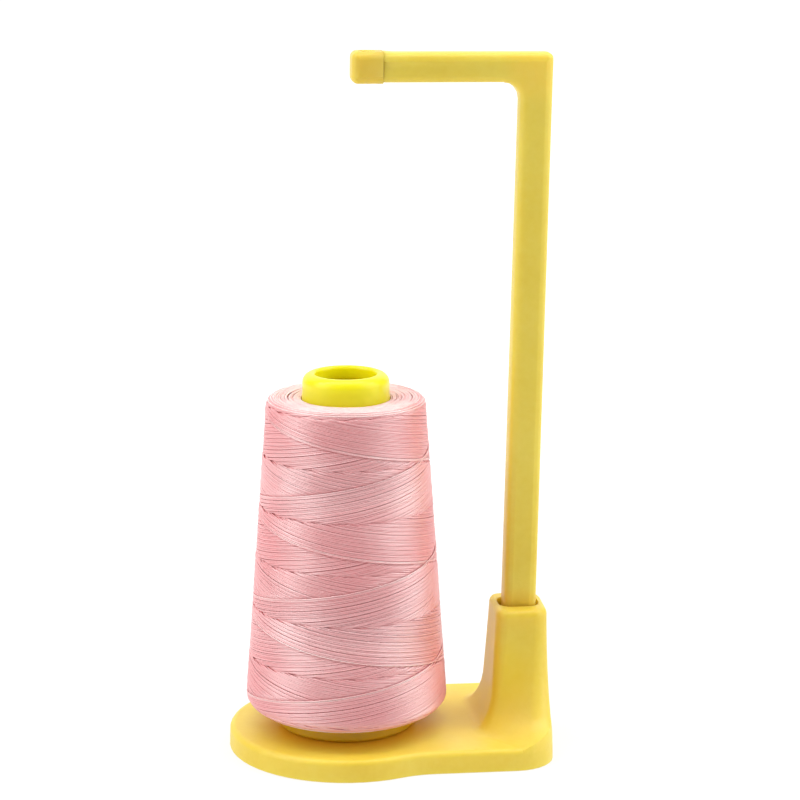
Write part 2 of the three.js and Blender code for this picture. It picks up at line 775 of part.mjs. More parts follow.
const leaningFrame = rodFrame();
stand.add(leaningFrame);
addNode(leaningFrame, "support_rod", toGeometry(makeRod()), standPlastic);
addNode(leaningFrame, "thread_guide", toGeometry(makeGuide()), standPlastic);

export default stand;
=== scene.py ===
# %% [markdown]
# # A thread spool stand
#
# The object is a moulded yellow stand with an upright L-shaped rod, and a cone of pink sewing thread that
# turns on a finned holder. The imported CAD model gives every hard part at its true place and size. Here the
# hard parts get smooth surfaces and plastic finishes, and the thread is wound turn by turn.
#
# All lengths are in metres once they reach Blender. The sizes of the winding are written in millimetres,
# because that is how a thread is measured.

# %% Load the frame
import math

import bpy
import numpy as np
from mathutils import Matrix, Vector


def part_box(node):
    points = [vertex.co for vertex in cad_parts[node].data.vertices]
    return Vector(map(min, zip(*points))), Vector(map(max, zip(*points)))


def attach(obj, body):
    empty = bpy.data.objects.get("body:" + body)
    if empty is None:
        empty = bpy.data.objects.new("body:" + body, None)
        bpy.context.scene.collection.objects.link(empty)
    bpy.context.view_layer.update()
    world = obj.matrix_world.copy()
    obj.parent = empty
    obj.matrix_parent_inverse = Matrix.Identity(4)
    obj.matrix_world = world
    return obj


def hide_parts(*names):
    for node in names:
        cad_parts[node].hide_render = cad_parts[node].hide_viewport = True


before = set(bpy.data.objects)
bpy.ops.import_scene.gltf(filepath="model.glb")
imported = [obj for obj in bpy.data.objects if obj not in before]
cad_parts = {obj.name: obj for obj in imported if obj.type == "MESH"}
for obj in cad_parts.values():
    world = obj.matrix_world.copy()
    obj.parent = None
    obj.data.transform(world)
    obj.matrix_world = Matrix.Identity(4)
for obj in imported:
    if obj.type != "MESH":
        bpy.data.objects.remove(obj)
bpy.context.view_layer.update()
MM = 0.001
print("nodes:", sorted(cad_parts))

# %% [markdown]
# The camera comes first, because every choice below is judged through it. A long lens stands about
# three quarters of a metre away and looks down by thirteen degrees. Its place was worked out from the
# round base, the rim of the cone and the straight rod, so it is set by numbers and not by eye.

# %% Set the camera
spool_x = (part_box("spool_pin")[0].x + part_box("spool_pin")[1].x) / 2
camera_swing = math.radians(-5.092)  # round the spool's axis, from straight in front
camera_distance = 0.74999
camera_height = 0.28093
camera_pan = math.radians(-1.241)
camera_dip = math.radians(12.982)
camera_roll = math.radians(0.139)
picture_width = 800
picture_focal = 2562.8  # in pixels of that picture
sensor_width = 36


def aim_camera():
    bpy.ops.object.select_all(action="DESELECT")
    bpy.ops.object.camera_add()
    camera = bpy.context.object
    camera.name = "view_camera"
    place = Vector(
        (
            spool_x + camera_distance * math.sin(camera_swing),
            -camera_distance * math.cos(camera_swing),
            camera_height,
        )
    )
    heading = camera_swing + camera_pan
    forward = Vector(
        (
            -math.sin(heading) * math.cos(camera_dip),
            math.cos(heading) * math.cos(camera_dip),
            -math.sin(camera_dip),
        )
    )
    level = Vector((math.cos(heading), math.sin(heading), 0))
    raised = level.cross(forward)
    right = level * math.cos(camera_roll) + raised * math.sin(camera_roll)
    up = raised * math.cos(camera_roll) - level * math.sin(camera_roll)
    camera.matrix_world = Matrix.Translation(place) @ Matrix((right, up, -forward)).transposed().to_4x4()
    camera.data.sensor_width = sensor_width
    camera.data.lens = picture_focal / picture_width * sensor_width
    camera.data.clip_start = 0.01
    camera.data.clip_end = 50
    bpy.context.scene.camera = camera
    return camera


bpy.context.scene.view_settings.view_transform = "Standard"
camera = aim_camera()
print("camera at", tuple(round(c, 4) for c in camera.location))

# %% [markdown]
# A finish in Blender is a tree of nodes. Sums in such a tree read badly as boxes and wires, so a small
# class stands for one socket and lets Python's own signs add the Math nodes: `1 - mask` builds a Subtract
# node. Every other node comes from one method that takes its type, its settings and its inputs. An input
# goes by its name, or by its number where a node has the same name twice, as a Mix node has.

# %% Tools for finishes
class Wire:
    """A number that runs through a finish, so that sums on it can be written as sums."""

    def __init__(self, finish, socket):
        self.finish, self.socket = finish, socket

    def sum(self, operation, *values):
        return self.finish.node("ShaderNodeMath", {"operation": operation}, dict(enumerate(values)))

    def __add__(self, other):
        return self.sum("ADD", self, other)

    def __sub__(self, other):
        return self.sum("SUBTRACT", self, other)

    def __rsub__(self, other):
        return self.sum("SUBTRACT", other, self)

    def __mul__(self, other):
        return self.sum("MULTIPLY", self, other)

    def __truediv__(self, other):
        return self.sum("DIVIDE", self, other)

    def __gt__(self, other):
        return self.sum("GREATER_THAN", self, other)

    __radd__, __rmul__ = __add__, __mul__


class Finish:
    """A material whose tree is built up from the place of a point on the object."""

    def __init__(self, name, **constants):
        self.material = bpy.data.materials.new(name)
        self.material.use_nodes = True
        self.tree = self.material.node_tree
        self.shader = self.tree.nodes["Principled BSDF"]
        for socket, value in constants.items():
            self.shader.inputs[socket.replace("_", " ")].default_value = value
        self.place = self.node("ShaderNodeTexCoord", output="Object")

    def node(self, kind, settings=None, inputs=None, output=0):
        """Adds a node of a kind, with its settings first, and gives back the output that is asked for."""
        made = self.tree.nodes.new(kind)
        for key, value in (settings or {}).items():
            if key == "stops":
                self.set_stops(made.color_ramp, value)
            else:
                setattr(made, key, value)
        for key, value in (inputs or {}).items():
            self.plug(made.inputs[key], value)
        return Wire(self, made.outputs[output])

    def set_stops(self, ramp, stops):
        while len(ramp.elements) < len(stops):
            ramp.elements.new(0.5)
        for element, (position, colour) in zip(ramp.elements, stops):
            element.position, element.color = position, (*colour, 1)

    def plug(self, socket, value):
        if isinstance(value, Wire):
            self.tree.links.new(value.socket, socket)
        else:
            socket.default_value = value

    def axes(self):
        """The x, y and z of a point on the object."""
        split = self.node("ShaderNodeSeparateXYZ", {}, {0: self.place})
        return [Wire(self, output) for output in split.socket.node.outputs]

    def distance(self, place):
        """How far a point on the object is from a place."""
        inputs = {0: self.place, 1: place}
        return self.node("ShaderNodeVectorMath", {"operation": "DISTANCE"}, inputs, output="Value")

    def fade(self, value, start, end):
        """A soft change from 0 to 1 as the value goes from start to end."""
        inputs = {"Value": value, "From Min": start, "From Max": end}
        return self.node("ShaderNodeMapRange", {"interpolation_type": "SMOOTHSTEP"}, inputs)

    def noise(self, scale, detail=2.0, rough=0.5, at=None, dimensions="3D"):
        """A cloudy number between 0 and 1, in clouds of about one metre over the scale."""
        settings = {"noise_dimensions": dimensions}
        slot = "W" if dimensions == "1D" else "Vector"
        inputs = {
            slot: self.place if at is None else at,
            "Scale": scale,
            "Detail": detail,
            "Roughness": rough,
        }
        return self.node("ShaderNodeTexNoise", settings, inputs)

    def ramp(self, factor, stops, smooth="LINEAR"):
        made = self.node("ShaderNodeValToRGB", {"stops": stops}, {0: factor})
        made.socket.node.color_ramp.interpolation = smooth
        return made

    def between(self, factor, low, high):
        """One number or another, with a straight change between them as the factor goes from 0 to 1."""
        return self.node("ShaderNodeMix", {"data_type": "FLOAT"}, {0: factor, 2: low, 3: high})

    def mix(self, factor, first, second):
        """The same for two colours."""
        return self.node("ShaderNodeMix", {"data_type": "RGBA"}, {0: factor, 6: first, 7: second}, output=2)

    def bump(self, height, distance, strength=1.0):
        inputs = {"Height": height, "Distance": distance, "Strength": strength}
        return self.node("ShaderNodeBump", {}, inputs)

    def set(self, **sockets):
        for name, value in sockets.items():
            self.plug(self.shader.inputs[name.replace("_", " ")], value)


def colour(red, green, blue):
    """A colour given in the usual 0 to 255 steps of a screen, as the light values that Blender mixes."""
    return tuple(
        c / 255 / 12.92 if c <= 10 else ((c / 255 + 0.055) / 1.055) ** 2.4 for c in (red, green, blue)
    )


# %% [markdown]
# The stand is polypropylene or a like plastic, moulded in one warm yellow. Such plastic is never quite
# even: the colour drifts a little over some centimetres, the skin has a faint orange peel, and handling
# leaves slightly duller patches. A trace of light goes into it and comes out again, which keeps its
# shaded side warm instead of grey.
#
# A few spots get painted light and shade. Under the spool and round the socket a warmer yellow is painted
# shade, standing in for light that goes from one yellow wall to the next. Between the spool and the tower a
# fresher yellow is painted light, in place of the pink light that the thread throws there. On the cap at the
# arm's end a duller tone is painted shade, where the lamps fall brightest. Each is a soft ball round one
# place, mixed over the even tone.

# %% Finish of the stand
seat = (spool_x, 0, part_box("cone_core")[0].z)
socket = (spool_x + 52.9 * MM, 0, 44 * MM)
wall = (spool_x + 38 * MM, 0, 18 * MM)
guide_low, guide_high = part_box("thread_guide")
cap = tuple((guide_low + guide_high) / 2)
PAINTED_WARM_SHADE, PAINTED_FRESH_LIGHT, PAINTED_DULL_SHADE = (237, 182, 26), (250, 212, 24), (206, 172, 50)
# For each piece, the spots of painted light and shade: middle, reach in metres, strength and tone.
PAINTED_LIGHT_SPOTS = {
    "base": [(seat, 0.031, 0.6, PAINTED_WARM_SHADE), (socket, 0.0075, 0.4, PAINTED_WARM_SHADE), (wall, 0.026, 0.45, PAINTED_FRESH_LIGHT)],
    "holder": [],
    "rod": [(socket, 0.0075, 0.4, PAINTED_WARM_SHADE)],
    "guide": [(cap, 0.014, 0.5, PAINTED_DULL_SHADE)],
}


def stand_finish(part, painted_spots):
    finish = Finish(
        part + "_plastic_finish",
        IOR=1.47,
        Subsurface_Weight=0.3,
        Subsurface_Scale=0.008,
        Subsurface_Radius=(1.0, 0.75, 0.15),
    )
    drift = finish.noise(28, detail=3)
    grain = finish.noise(420, rough=0.6)
    tone = finish.ramp(
        drift * 0.8 + grain * 0.2,
        [(0.32, colour(225, 193, 58)), (0.5, colour(231, 202, 71)), (0.7, colour(236, 210, 86))],
    )
    # Each spot mixes a painted shade or a painted light over the plastic's own tone.
    for place, reach, depth, shade in painted_spots:
        painted_spot_mask = finish.fade(finish.distance(place), reach, reach * 0.6)
        tone = finish.mix(painted_spot_mask * depth, tone, (*colour(*shade), 1))
    rubbed = finish.noise(75, detail=4, rough=0.65)
    peel = finish.noise(900, detail=1.5)
    finish.set(
        Base_Color=tone,
        Roughness=finish.between(rubbed, 0.34, 0.5),
        Normal=finish.bump(peel, 0.00012, 0.35),
    )
    return finish.material


# %% [markdown]
# The cone's core is a thinner, harder moulding in lemon yellow, with a gloss that shows as a pale line round
# its rolled rim. Its foot stands in the spool's own shade, and there a deeper golden colour is mixed in by
# the height over the foot: a painted shade that stands in for the warm light the yellow plate throws up into
# that shade.

# %% Finish of the core
def core_finish():
    finish = Finish(
        "core_plastic_finish",
        IOR=1.45,
        Subsurface_Weight=0.6,
        Subsurface_Scale=0.012,
        Subsurface_Radius=(1.0, 0.8, 0.08),
    )
    drift = finish.noise(45)
    tone = finish.ramp(
        drift, [(0.3, colour(238, 222, 8)), (0.55, colour(243, 230, 14)), (0.75, colour(247, 236, 30))]
    )
    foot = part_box("cone_core")[0].z
    # Painted shade: the foot of the core gets a deeper golden colour for the bounced light it would get in
    # the spool's shade.
    low = finish.fade(finish.axes()[2], foot + 0.012, foot + 0.005)
    tone = finish.mix(low, tone, (*colour(234, 172, 14), 1))
    peel = finish.noise(1100, detail=1)
    finish.set(
        Base_Color=tone,
        Roughness=finish.between(finish.noise(120, detail=3, rough=0.6), 0.24, 0.36),
        Normal=finish.bump(peel, 0.00008, 0.25),
    )
    return finish.material


plastics = {part: stand_finish(part, painted_spots) for part, painted_spots in PAINTED_LIGHT_SPOTS.items()}
core_plastic = core_finish()
print("plastics for:", ", ".join([*plastics, "core"]))

# %% [markdown]
# The CAD parts arrive as loose flat triangles. A copy of each is joined up at its shared corners and
# shaded smooth wherever two faces meet at a small angle, so that round parts look round and edges stay
# crisp. Large faces count for more in the shading, which keeps a flat wall flat up to its rounded edge. The
# copy takes the place of the part in the picture, and the part itself stays for collisions.

# %% Smooth copies of the hard parts
crease_angle = math.radians(32)


def smooth_copy(node, name, body, finish):
    bpy.ops.object.select_all(action="DESELECT")
    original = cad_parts[node]
    piece = bpy.data.objects.new(name, original.data.copy())
    bpy.context.scene.collection.objects.link(piece)
    bpy.context.view_layer.objects.active = piece
    piece.select_set(True)
    bpy.ops.object.mode_set(mode="EDIT")
    bpy.ops.mesh.customdata_custom_splitnormals_clear()
    bpy.ops.mesh.select_all(action="SELECT")
    bpy.ops.mesh.remove_doubles(threshold=1e-6)
    bpy.ops.object.mode_set(mode="OBJECT")
    bpy.ops.object.shade_smooth_by_angle(angle=crease_angle)
    bpy.ops.object.modifier_add(type="WEIGHTED_NORMAL")
    piece.modifiers[-1].keep_sharp = True
    bpy.ops.object.modifier_apply(modifier=piece.modifiers[-1].name)
    piece.data.materials.clear()
    piece.data.materials.append(finish)
    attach(piece, body)
    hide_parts(node)
    print(name, "has", len(piece.data.vertices), "corners")
    return piece


base = smooth_copy("base", "moulded_base", "base", plastics["base"])
smooth_copy("spool_pin", "turning_pin", "base", plastics["holder"])
smooth_copy("cone_holder", "finned_holder", "cone_holder", plastics["holder"])
smooth_copy("cone_core", "lemon_cone_core", "spool", core_plastic)
rod = smooth_copy("support_rod", "upright_rod", "rod", plastics["rod"])
guide = smooth_copy("thread_guide", "arm_end_guide", "rod", plastics["guide"])

# %% [markdown]
# Solids for collisions keep clearances and steps that a moulding doesn't show, so the copies of three
# places are shifted a little, corner by corner. The cap at the arm's end is pressed home, so its seam is
# drawn finer, and the rounded edges beside it squarer. The tower's wall towards the spool is a little
# thinner. Where the tower's foot runs out over the plate's rounded edge, it starts as a ramp.

# %% The seam at the arm's end
arm_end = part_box("support_rod")[0].x
arm_round, arm_flat = 3.1 * MM, 2.1 * MM  # length of the rounded edges, half width of the face inside them
cap_round, cap_flat = 2.45 * MM, 2.7 * MM
seam_gap, seam_fill = 0.3 * MM, 0.28 * MM
squared = 0.96  # share of the rounding that is taken out
for corner in rod.data.vertices:
    past = corner.co.x - arm_end
    if past < arm_round and abs(corner.co.y) > arm_flat:
        corner.co.x -= squared * past
for corner in guide.data.vertices:
    past = arm_end - seam_gap - corner.co.x
    if abs(past) < 0.1 * MM:  # the cap's end face
        corner.co.x += seam_fill
    elif 0 < past < cap_round and abs(corner.co.y) > cap_flat:
        corner.co.x += seam_fill + squared * past
print("seam left open: %.2f mm" % ((seam_gap - seam_fill) / MM))

# %% The tower's wall and foot
tower_start = spool_x + 35 * MM
wall_face = spool_x + 46.75 * MM
wall_thinner = 0.45 * MM
for corner in base.data.vertices:
    outside = min(1, max(0, (wall_face - corner.co.x) / (2 * MM)))
    above = min(1, max(0, (corner.co.z - 10 * MM) / (6 * MM)))
    if corner.co.x > tower_start:
        corner.co.x += wall_thinner * outside * above

# The middle, level and radius of the plate's rounded edge, and where the ramp starts and how long it is.
edge_middle, edge_level, edge_round = 29.57, 4.8, 1.8  # in millimetres, as the next two are
foot_start, ramp = 50.2, 2.2
eased = 0
for corner in base.data.vertices:
    along = (corner.co.x - spool_x) / MM - foot_start
    outward = abs(corner.co.y) / MM - edge_middle
    above = corner.co.z / MM - edge_level
    proud = math.hypot(outward, above) - edge_round
    if 0 < along < ramp and min(outward, above, proud) > 0:
        drawn_in = 1 - proud * (1 - along / ramp) / (proud + edge_round)
        corner.co.y = math.copysign(edge_middle + outward * drawn_in, corner.co.y) * MM
        corner.co.z = (edge_level + above * drawn_in) * MM
        eased += 1
print("corners on the ramps:", eased)

# %% [markdown]
# The thread is the heart of the object. On a winding machine the thread climbs the cone in a steep helix,
# turns back at the end and comes down in the opposite helix, and each round trip starts a little further
# on. So there are two families of parallel turns, one rising and one falling, and every turn lies over
# the turns of the other family that are older than it. That one rule makes the whole pattern of broad
# diamonds: the newest falling turn is a bright edge with falling turns above it and rising turns below,
# the newest rising turn is an edge with rising turns below it, and where both families are equally old
# they change places along a level line.
#
# A texture could fake this, but the edges have real thickness and shade, so every turn is made as a
# thread. The rule gives each thread its height over the cone wherever it goes.

# %% Sizes of the winding, in millimetres
cone_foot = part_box("cone_core")[0].z / MM
core_foot_radius = 21.3
core_neck_radius = 13.1
core_taper_height = 109.6 - 5.4
core_gap = 0.4  # between the core and the thread
package_foot = cone_foot + 5.6
package_top = cone_foot + 102.4
foot_radius = 31.2  # over the outermost turns
top_radius = 24.1
shoulder = 2.6
foot_shoulder = 4.2
top_run, foot_run = 3.8, 6.2  # how far the threads run round the shoulders
thread_radius = 0.22
helix_rise = 31.2  # along the cone in one turn
threads_in_family = 82
newest_share = 1.6 / threads_in_family  # of a family looks newly wound
newest_proud = 0.09
layer_half = 0.24  # the upper family lies this far outside the middle, the lower one inside
cover = 0.15  # from the outline down to the upper family
newest_falling = 97.1  # level of the newest falling turn, straight in front
newest_rising = 87.4
cross_over = 0.75  # a thread climbs over an edge within this rise
level_change = 0.45
dash_depth, dash_width = 0.75, 0.35
sway_most, wander_most = 0.02, 0.05  # in and out, and up and down, along one thread
stray_usual, lift_usual, lift_most = 0.025, 0.006, 0.02  # from thread to thread
slit_below, slit_above = 0.12, 0.16  # of the room of one thread
dice = np.random.RandomState(11)  # the same throws in every run


def core_radius(level):
    """The outside of the core, which tapers evenly."""
    taper = core_foot_radius - core_neck_radius
    return core_foot_radius - (level - cone_foot) * taper / core_taper_height


print("thread from %.1f to %.1f mm above the table" % (package_foot, package_top))

# %% [markdown]
# The winding follows the outline of the package: out over the bottom face, round the shoulder, up the
# straight side, round the upper shoulder and in over the top face. A thread is placed by how far it has
# travelled along that outline. The travel is counted so that it equals the level at 60 millimetres, half
# way up the side, which lets an edge in the pattern be placed where it is seen.

# %% The cone's outline
arc_steps = 12
middle_level = 60


def shoulder_arc(radius, level, size, start, end):
    """Points round a shoulder from one angle to another, where radius and level are those of its side."""
    angles = [start + (end - start) * step / arc_steps for step in range(arc_steps + 1)]
    return [(radius - size + size * math.cos(angle), level + size * math.sin(angle)) for angle in angles]


def package_outline():
    """Points up the outside of the package: bottom face, shoulder, side, shoulder, top face."""
    taper = (foot_radius - top_radius) / (package_top - package_foot)
    lean = math.atan(taper)
    low, high = package_foot + foot_shoulder, package_top - shoulder
    low_radius = foot_radius - taper * foot_shoulder
    high_radius = top_radius + taper * shoulder
    return np.array(
        [
            (core_radius(package_foot) + core_gap, package_foot),
            *shoulder_arc(low_radius, low, foot_shoulder, -math.pi / 2, lean),
            *shoulder_arc(high_radius, high, shoulder, lean, math.pi / 2),
            (core_radius(package_top) + core_gap, package_top),
        ]
    )


outline = package_outline()
travel = np.concatenate([[0], np.cumsum(np.hypot(*np.diff(outline, axis=0).T))])
side = slice(arc_steps + 1, arc_steps + 3)  # the two ends of the straight side
travel += middle_level - np.interp(middle_level, outline[side, 1], travel[side])
side_low, side_high = travel[side]
print("side from %.1f to %.1f mm" % (side_low, side_high))


def on_outline(distance, inset):
    """The radius and level of a point that lies inset under the outline, after that much travel."""
    behind, here, ahead = (
        np.array([np.interp(distance + step, travel, outline[:, axis]) for axis in (0, 1)])
        for step in (-0.3, 0, 0.3)
    )
    along = ahead - behind
    along /= np.maximum(np.hypot(*along), 1e-9)
    return here[0] - inset * along[1], here[1] + inset * along[0]


# %% [markdown]
# Each thread is worked out as a row of points. Near the ends of the cone it eases round the shoulder and
# stops under the rings of the face, where the real thread turns back. Where the two families change places,
# some threads sink in, which leaves the short dark dashes between the bands.

# %% The rule of the winding
def smooth(value):
    value = np.clip(value, 0, 1)
    return value * value * (3 - 2 * value)


def ease_ends(distance):
    """Threads crowd together at the shoulders and never go past them."""
    top, foot, softness = side_high + top_run, side_low - foot_run, 0.9
    distance = top - softness * np.log1p(np.exp((top - distance) / softness))
    return foot + softness * np.log1p(np.exp((distance - foot) / softness))


def ages(distance, turn):
    """How new the falling and the rising turns are at a place, from 0, oldest, to 1, newest."""
    falling = (newest_falling - distance) / helix_rise - turn
    rising = (distance - newest_rising) / helix_rise - turn
    return falling % 1, rising % 1


def heights(distance, turn):
    """Height of the falling and of the rising turns at a place, from -1 to 1."""
    falling, rising = ages(distance, turn)
    lead = (falling - rising) * helix_rise / 2 / level_change
    lead = 2 * smooth((lead + 1) / 2) - 1
    for_rising = 1 + (lead - 1) * smooth(falling * helix_rise / cross_over)
    for_falling = -1 + (lead + 1) * smooth(rising * helix_rise / cross_over)
    return for_falling, -for_rising


def sinking(distance, turn, age):
    """Where the two families change places, some threads sink in and leave a dark dash."""
    falling, rising = ages(distance, turn)
    away = np.abs(falling - rising) * helix_rise / 2
    some = np.clip(np.sin(2 * np.pi * (turn * 3.3 + age * 23)), 0, 1)
    return dash_depth * some * np.exp(-((away / dash_width) ** 2))


def thread_ages():
    """Where the threads of a family lie between one edge and the next, and how far each stands proud."""
    stray = dice.normal(0, stray_usual, threads_in_family)
    lift = np.clip(dice.normal(0, lift_usual, threads_in_family), -lift_most, lift_most)
    # Here and there two neighbours part and leave a slit, and one of them may stand a little proud.
    for slit in np.cumsum(dice.randint(5, 15, threads_in_family)):
        if slit < threads_in_family - 4:
            stray[slit - 1] -= slit_below
            stray[slit] += slit_above
            lift[slit] += dice.choice([0, 0.03, 0.08])
    even = np.arange(threads_in_family) + 0.5
    return zip((even + stray) / threads_in_family, lift)


def round_the_cone(radius, angle, level):
    """Points at these radii, angles and levels, one to a row."""
    return np.stack([radius * np.cos(angle), radius * np.sin(angle), level], axis=1)


def wound_thread(age, lift, direction):
    """Points along one thread of a family: direction is -1 for a falling one and 1 for a rising one."""
    start = newest_falling if direction < 0 else newest_rising
    reach, steps_in_turn = 1.6, 80
    first = (side_low - foot_run - reach - start) / helix_rise
    last = (side_high + top_run + reach - start) / helix_rise
    offset = -age if direction < 0 else age
    turns = np.linspace(first - offset, last - offset, int((last - first) * steps_in_turn) + 1)
    distance = start + (turns + offset) * helix_rise
    turn = turns * direction
    height = heights(distance, turn)[0 if direction < 0 else 1]
    proud = lift + newest_proud * smooth((age - 1 + newest_share) * threads_in_family)
    # No thread lies quite true: it sways in and out, and wanders up and down.
    sway = sway_most * np.sin(2 * np.pi * turn * 1.7 + age * 40)
    distance = distance + wander_most * np.sin(2 * np.pi * turn * 0.9 + age * 170)
    inset = thread_radius + cover + layer_half * (1 - height) - proud - sway - dice.normal(0, lift_most)
    inset = inset + sinking(distance, turn, age)
    radius, level = on_outline(ease_ends(distance), inset)
    return round_the_cone(radius, 2 * np.pi * turn - np.pi / 2, level)


falling_rows = [wound_thread(age, lift, -1) for age, lift in thread_ages()]
rising_rows = [wound_thread(age, lift, 1) for age, lift in thread_ages()]
print(len(falling_rows), "falling and", len(rising_rows), "rising threads")

# %% [markdown]
# The points become threads by way of a curve object with a bevel, which is then made a mesh. One curve
# holds a whole family, because hundreds of small objects would be slow and of no use. At this size a thread
# needs no more than four sides, and smooth shading makes it look round.

# %% Winding the threads
def make_threads(name, rows, closed=False):
    bpy.ops.object.select_all(action="DESELECT")
    route = bpy.data.curves.new(name, "CURVE")
    route.dimensions = "3D"
    route.bevel_depth = thread_radius * MM
    route.bevel_resolution = 0
    route.use_fill_caps = not closed
    for row in rows:
        spline = route.splines.new("POLY")
        spline.points.add(len(row) - 1)
        place = np.column_stack([row * MM + np.array([spool_x, 0, 0]), np.ones(len(row))])
        spline.points.foreach_set("co", place.ravel())
        spline.use_cyclic_u = closed
    piece = bpy.data.objects.new(name, route)
    bpy.context.scene.collection.objects.link(piece)
    bpy.context.view_layer.objects.active = piece
    piece.select_set(True)
    bpy.ops.object.convert(target="MESH")
    piece = bpy.context.object
    bpy.ops.object.shade_smooth()
    print(name, "has", sum(len(face.vertices) - 2 for face in piece.data.polygons), "triangles")
    return piece


falling_turns = make_threads("falling_turns", falling_rows)
rising_turns = make_threads("rising_turns", rising_rows)

# %% [markdown]
# Under the outer threads lies the bulk of the package. Nobody sees more of it than dark slits, so it is a
# turned body, made as on a lathe: a circle is drawn out ring by ring along the outline.

# %% The bulk of the thread
def turned_body(name, rings):
    bpy.ops.object.select_all(action="DESELECT")
    radius, level = rings[0]
    bpy.ops.mesh.primitive_circle_add(vertices=96, radius=radius * MM, location=(spool_x, 0, level * MM))
    piece = bpy.context.object
    piece.name = name
    bpy.ops.object.mode_set(mode="EDIT")
    bpy.ops.mesh.select_all(action="SELECT")
    for (radius, level), (next_radius, next_level) in zip(rings, rings[1:]):
        bpy.ops.mesh.extrude_edges_move(
            TRANSFORM_OT_translate={"value": (0, 0, (next_level - level) * MM)}
        )
        grow = next_radius / radius
        bpy.ops.transform.resize(value=(grow, grow, 1))
    bpy.ops.mesh.select_all(action="SELECT")
    bpy.ops.mesh.remove_doubles(threshold=1e-6)
    bpy.ops.mesh.normals_make_consistent(inside=False)
    bpy.ops.object.mode_set(mode="OBJECT")
    bpy.ops.object.transform_apply(location=True, rotation=True, scale=True)
    bpy.ops.object.shade_smooth_by_angle(angle=math.radians(40))
    return piece


body_inset = 0.95
body_low, body_high = package_foot + body_inset, package_top - body_inset
body_rings = [
    (core_radius(body_low) + core_gap, body_low),
    *[on_outline(distance, body_inset) for distance in travel[1:-1]],
    (core_radius(body_high) + 2.2, body_high),  # from here the top face dips towards the core
    (core_radius(body_high) + core_gap, body_high - 1.2),
]
body_rings.append(body_rings[0])
thread_bulk = turned_body("thread_bulk", body_rings)
print("thread_bulk", tuple(round(c / MM, 1) for c in thread_bulk.dimensions))

# %% [markdown]
# The face on top, pale with a painted sheen, is where the thread turned back thousands of times. It shows as
# fine rings, not quite round and not quite level, that sink a little towards the core. The face below has
# the same rings, and a few late turns lie loosely on the upper shoulder.

# %% Rings of the end faces
ring_spacing = 0.36
ring_points = 96
egg, waves, ring_stray = 0.12, 0.05, 0.05  # how far a ring is out of round, and out of its place
dish_depth, dish_width = 0.3, 3.2
under_face, out_of_level = 0.1, 0.08


def face_rings(inner, outer, level, sign):
    """Rings of one face: sign is 1 on top, where they sink downwards, and -1 below."""
    rows = []
    turn = np.linspace(0, 2 * np.pi, ring_points + 1)[:-1]
    for radius in np.arange(inner, outer, ring_spacing):
        phase, lobe = dice.uniform(0, 2 * np.pi, 2)
        wobble = egg * np.sin(turn + phase) + waves * np.sin(3 * turn + lobe)
        dish = dish_depth * max(0, 1 - (radius - inner) / dish_width) ** 2
        height = level - sign * (thread_radius + dish + under_face) + out_of_level * np.sin(turn + lobe)
        away = radius + dice.normal(0, ring_stray) + wobble
        rows.append(round_the_cone(away, turn, height))
    return rows


def shoulder_rings():
    """A few late turns that slipped onto the top shoulder, a little out of level."""
    rows = []
    turn = np.linspace(0, 2 * np.pi, 145)[:-1]
    for over_side, tilt, lean in ((3.6, 0.35, 2.2), (2.6, 0.45, 2.6), (1.6, 0.3, 3.6)):
        distance = side_high + over_side + tilt * np.cos(turn - lean)
        radius, level = on_outline(distance, thread_radius - 0.05)
        rows.append(round_the_cone(radius, turn, level))
    return rows


inside, outside = 0.45, 0.8  # from the core to the first ring, and how far the last ones reach the shoulder
top_rows = face_rings(
    core_radius(package_top) + inside, top_radius - shoulder + outside, package_top, 1
)
foot_rows = face_rings(
    core_radius(package_foot) + inside, foot_radius - foot_shoulder + outside, package_foot, -1
)
top_face_rings = make_threads("top_face_rings", top_rows, closed=True)
foot_face_rings = make_threads("foot_face_rings", foot_rows, closed=True)
shoulder_turns = make_threads("shoulder_turns", shoulder_rings(), closed=True)

# %% [markdown]
# The thread is spun polyester, dyed a soft pink. Its colour differs a little from thread to thread and along
# each one, and light slides along the fibres, so the surface is neither matt nor glossy. The newest turns,
# which stand proud, are painted paler as a painted highlight, and the end faces get a painted sheen. The
# pattern is worked out from the place of a point on the cone, with the same numbers as the winding, so each
# thread keeps its own tone all the way round.

